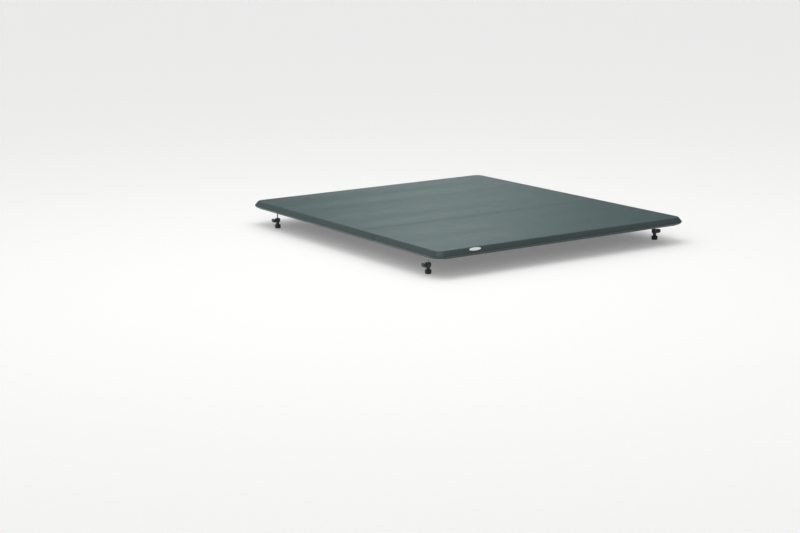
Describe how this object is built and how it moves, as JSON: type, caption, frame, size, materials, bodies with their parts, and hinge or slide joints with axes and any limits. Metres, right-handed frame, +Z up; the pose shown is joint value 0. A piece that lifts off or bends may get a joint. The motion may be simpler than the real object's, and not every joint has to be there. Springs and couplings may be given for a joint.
{
  "type": "tonneau cover",
  "caption": "Soft folding pickup bed cover: vinyl panels over aluminium frames on interlocking hinges fold up towards the cab; swing-away screw clamps grip the bed rails from below.",
  "frame": {"origin": "middle of the cover, in the plane of the bed rail tops where the seals sit", "axes": "+X to the truck's right, +Y forward to the cab, +Z up"},
  "size_m": [1.718, 2.029, 0.1508],
  "materials": {
    "vinyl": "satin",
    "frame": "satin",
    "casting": "satin",
    "seal": "matte",
    "steel": "satin",
    "knob": "matte"
  },
  "bodies": {
    "front_panel": {"front_header": "frame", "front_corner_left": "casting", "front_corner_right": "casting", "front_rail_left": "frame", "front_rail_right": "frame", "front_fold_bow": "frame", "front_support_bow": "frame", "front_vinyl": "vinyl", "bulkhead_seal": "seal", "front_seal_left": "seal", "front_seal_right": "seal", "front_clamp_left_bracket": "casting", "front_clamp_left_pin": "steel", "front_clamp_right_bracket": "casting", "front_clamp_right_pin": "steel"},
    "front_link": {"front_link_hinge_bar": "frame", "front_link_end_left": "casting", "front_link_end_right": "casting", "front_link_vinyl": "vinyl"},
    "middle_panel": {"middle_rail_left": "frame", "middle_rail_right": "frame", "middle_fold_bow_front": "frame", "middle_fold_bow_rear": "frame", "middle_support_bow": "frame", "middle_vinyl": "vinyl", "middle_seal_left": "seal", "middle_seal_right": "seal"},
    "rear_link": {"rear_link_hinge_bar": "frame", "rear_link_end_left": "casting", "rear_link_end_right": "casting", "rear_link_vinyl": "vinyl"},
    "rear_panel": {"rear_header": "frame", "rear_corner_left": "casting", "rear_corner_right": "casting", "rear_rail_left": "frame", "rear_rail_right": "frame", "rear_fold_bow": "frame", "rear_support_bow": "frame", "rear_vinyl": "vinyl", "tailgate_seal": "seal", "rear_seal_left": "seal", "rear_seal_right": "seal", "rear_clamp_left_bracket": "casting", "rear_clamp_left_pin": "steel", "rear_clamp_right_bracket": "casting", "rear_clamp_right_pin": "steel"},
    "front_clamp_left_arm": {"front_clamp_left_stud": "steel"},
    "front_clamp_left_hook": {"front_clamp_left_jaw": "casting"},
    "front_clamp_left_handle": {"front_clamp_left_knob": "knob"},
    "front_clamp_right_arm": {"front_clamp_right_stud": "steel"},
    "front_clamp_right_hook": {"front_clamp_right_jaw": "casting"},
    "front_clamp_right_handle": {"front_clamp_right_knob": "knob"},
    "rear_clamp_left_arm": {"rear_clamp_left_stud": "steel"},
    "rear_clamp_left_hook": {"rear_clamp_left_jaw": "casting"},
    "rear_clamp_left_handle": {"rear_clamp_left_knob": "knob"},
    "rear_clamp_right_arm": {"rear_clamp_right_stud": "steel"},
    "rear_clamp_right_hook": {"rear_clamp_right_jaw": "casting"},
    "rear_clamp_right_handle": {"rear_clamp_right_knob": "knob"}
  },
  "joints": [
    {"name": "front_fold", "type": "hinge", "parent": "front_panel", "child": "front_link", "pos_m": [0, 0.3605, 0.0398], "axis": [-1, 0, 0], "range_deg": [0, 90]},
    {"name": "front_fold_second", "type": "hinge", "parent": "front_link", "child": "middle_panel", "pos_m": [0, 0.2745, 0.0398], "axis": [-1, 0, 0], "range_deg": [0, 90]},
    {"name": "rear_fold", "type": "hinge", "parent": "middle_panel", "child": "rear_link", "pos_m": [0, -0.3655, 0.0398], "axis": [-1, 0, 0], "range_deg": [0, 90]},
    {"name": "rear_fold_second", "type": "hinge", "parent": "rear_link", "child": "rear_panel", "pos_m": [0, -0.3915, 0.0398], "axis": [-1, 0, 0], "range_deg": [0, 90]},
    {"name": "front_clamp_left_swing", "type": "hinge", "parent": "front_panel", "child": "front_clamp_left_arm", "pos_m": [-0.7865, 0.814, 0.024], "axis": [0, -1, 0], "range_deg": [0, 90]},
    {"name": "front_clamp_left_grip", "type": "slide", "parent": "front_clamp_left_arm", "child": "front_clamp_left_hook", "axis": [0, 0, -1], "range_m": [0, 0.006]},
    {"name": "front_clamp_left_turn", "type": "hinge", "parent": "front_clamp_left_hook", "child": "front_clamp_left_handle", "pos_m": [-0.7865, 0.814, -0.09], "axis": [0, 0, -1], "range_deg": [0, 1081]},
    {"name": "front_clamp_right_swing", "type": "hinge", "parent": "front_panel", "child": "front_clamp_right_arm", "pos_m": [0.7865, 0.814, 0.024], "axis": [0, 1, 0], "range_deg": [0, 90]},
    {"name": "front_clamp_right_grip", "type": "slide", "parent": "front_clamp_right_arm", "child": "front_clamp_right_hook", "axis": [0, 0, -1], "range_m": [0, 0.006]},
    {"name": "front_clamp_right_turn", "type": "hinge", "parent": "front_clamp_right_hook", "child": "front_clamp_right_handle", "pos_m": [0.7865, 0.814, -0.09], "axis": [0, 0, -1], "range_deg": [0, 1081]},
    {"name": "rear_clamp_left_swing", "type": "hinge", "parent": "rear_panel", "child": "rear_clamp_left_arm", "pos_m": [-0.7865, -0.824, 0.024], "axis": [0, -1, 0], "range_deg": [0, 90]},
    {"name": "rear_clamp_left_grip", "type": "slide", "parent": "rear_clamp_left_arm", "child": "rear_clamp_left_hook", "axis": [0, 0, -1], "range_m": [0, 0.006]},
    {"name": "rear_clamp_left_turn", "type": "hinge", "parent": "rear_clamp_left_hook", "child": "rear_clamp_left_handle", "pos_m": [-0.7865, -0.824, -0.09], "axis": [0, 0, -1], "range_deg": [0, 1081]},
    {"name": "rear_clamp_right_swing", "type": "hinge", "parent": "rear_panel", "child": "rear_clamp_right_arm", "pos_m": [0.7865, -0.824, 0.024], "axis": [0, 1, 0], "range_deg": [0, 90]},
    {"name": "rear_clamp_right_grip", "type": "slide", "parent": "rear_clamp_right_arm", "child": "rear_clamp_right_hook", "axis": [0, 0, -1], "range_m": [0, 0.006]},
    {"name": "rear_clamp_right_turn", "type": "hinge", "parent": "rear_clamp_right_hook", "child": "rear_clamp_right_handle", "pos_m": [0.7865, -0.824, -0.09], "axis": [0, 0, -1], "range_deg": [0, 1081]}
  ],
  "couplings": [
    {"joint": "front_clamp_left_turn", "follows": "front_clamp_left_grip", "rad_per_m": 3141.6},
    {"joint": "front_clamp_right_turn", "follows": "front_clamp_right_grip", "rad_per_m": 3141.6},
    {"joint": "rear_clamp_left_turn", "follows": "rear_clamp_left_grip", "rad_per_m": 3141.6},
    {"joint": "rear_clamp_right_turn", "follows": "rear_clamp_right_grip", "rad_per_m": 3141.6}
  ]
}
